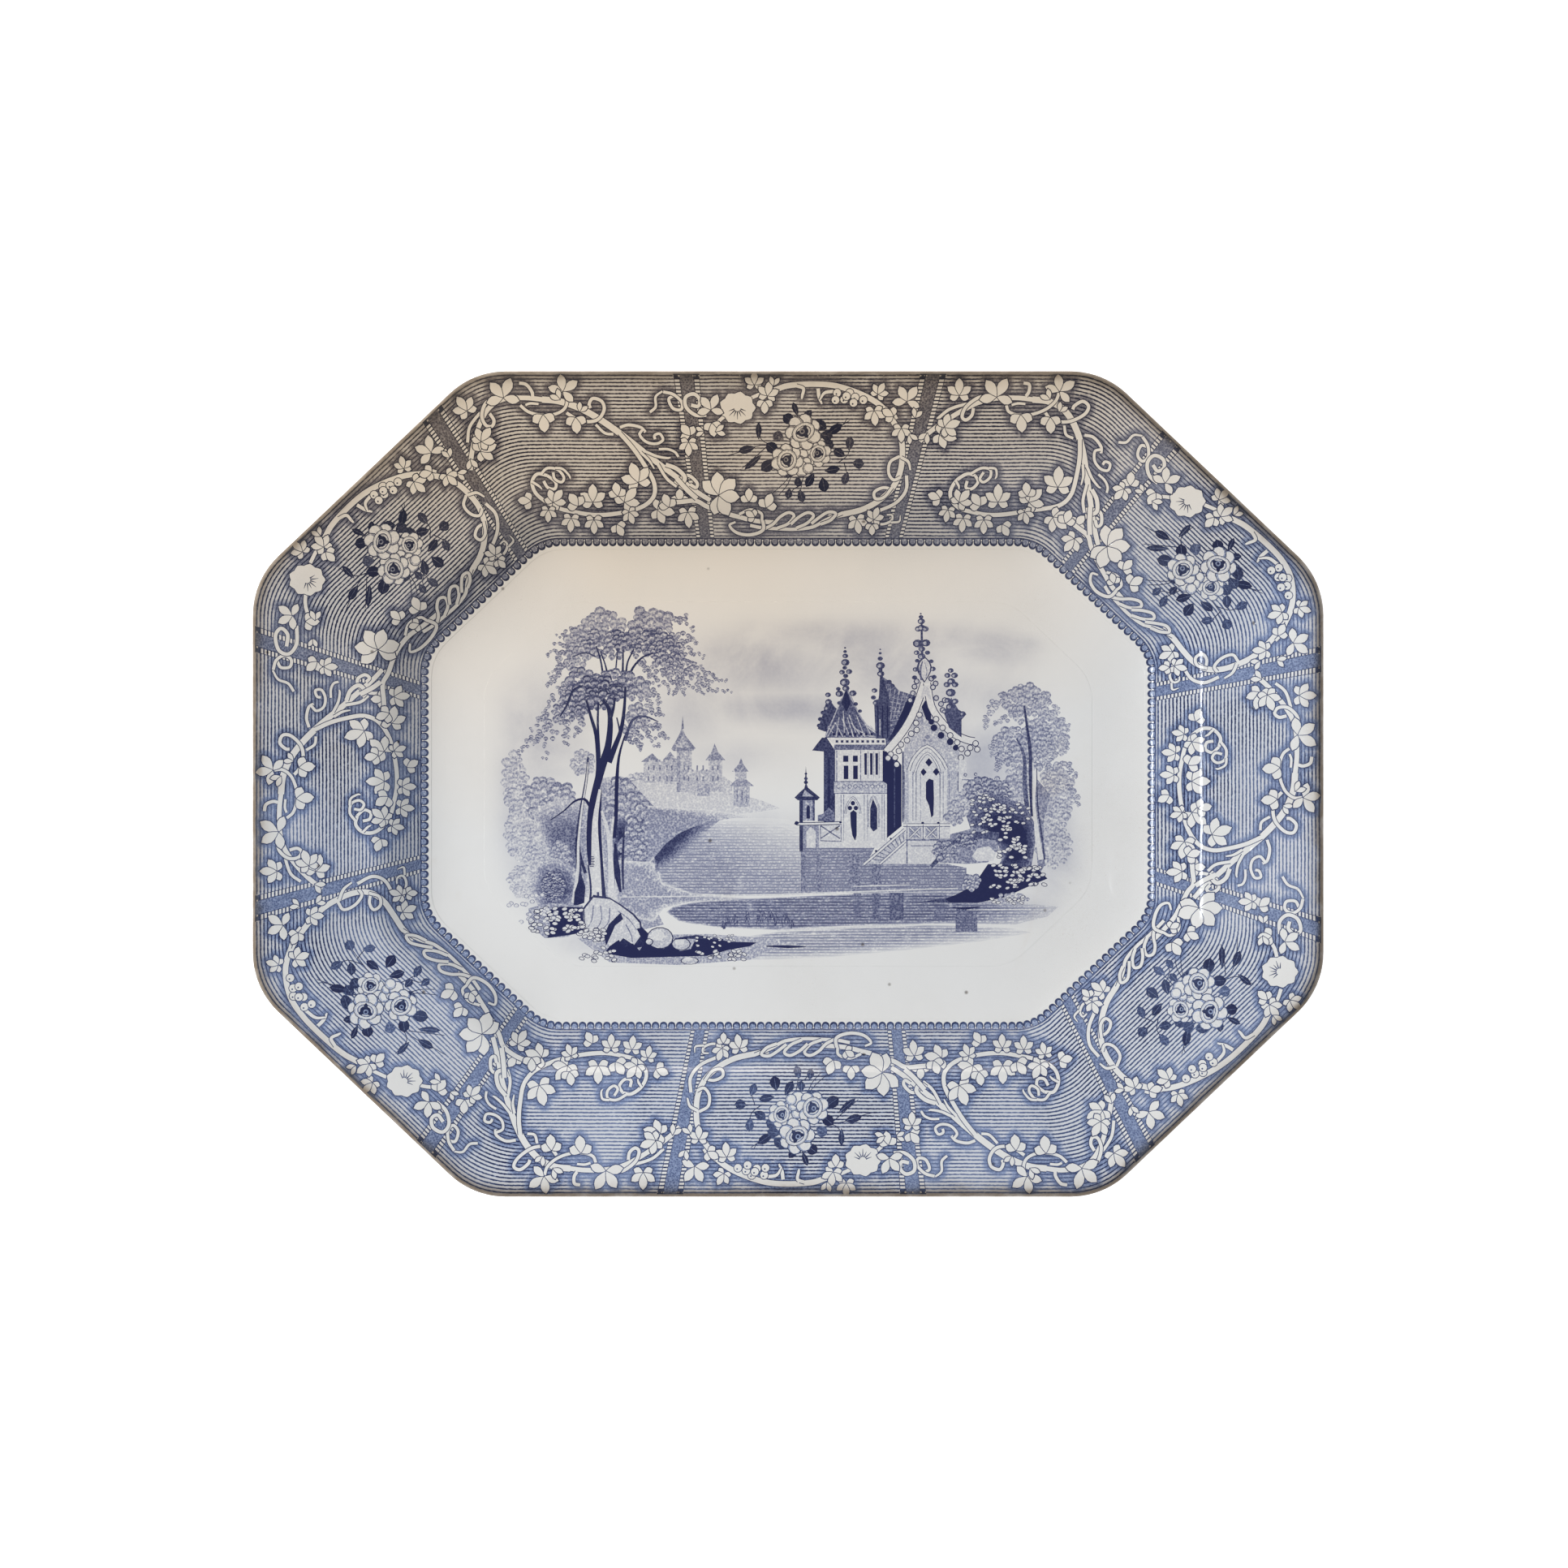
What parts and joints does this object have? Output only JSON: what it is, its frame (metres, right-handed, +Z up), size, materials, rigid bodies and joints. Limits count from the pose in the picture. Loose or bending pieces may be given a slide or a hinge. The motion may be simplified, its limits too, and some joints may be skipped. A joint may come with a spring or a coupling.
{
  "type": "serving platter",
  "caption": "Long eight-sided earthenware serving platter with a sloping rim, a sunken flat well, a low foot, blue transfer-printed panels round the rim and a scene in the well.",
  "frame": {"origin": "centre of the plane that the foot rests on", "axes": "+X along the platter's length, +Y across its width towards the top of the printed scene, +Z up out of the well"},
  "size_m": [0.393, 0.303, 0.037],
  "materials": {
    "clay": "unglazed cream earthenware, smooth and dull, bare only on the foot",
    "glaze": "clear glossy glaze over white clay, finely crazed, with a few pinholes and a worn brown rim",
    "scene_print": "underglaze cobalt print of a landscape, in stippled and engraved tones",
    "border_print": "underglaze cobalt print of scrolls and bouquets, left white on an engraved ground of fine lines"
  },
  "bodies": {
    "root": {"earthenware_body": "clay", "face_glaze": "glaze", "base_glaze": "glaze", "centre_print": "scene_print", "border_print_right": "border_print", "border_print_top_right_corner": "border_print", "border_print_top_right": "border_print", "border_print_top": "border_print", "border_print_top_left": "border_print", "border_print_top_left_corner": "border_print", "border_print_left": "border_print", "border_print_bottom_left_corner": "border_print", "border_print_bottom_left": "border_print", "border_print_bottom": "border_print", "border_print_bottom_right": "border_print", "border_print_bottom_right_corner": "border_print"}
  },
  "joints": []
}
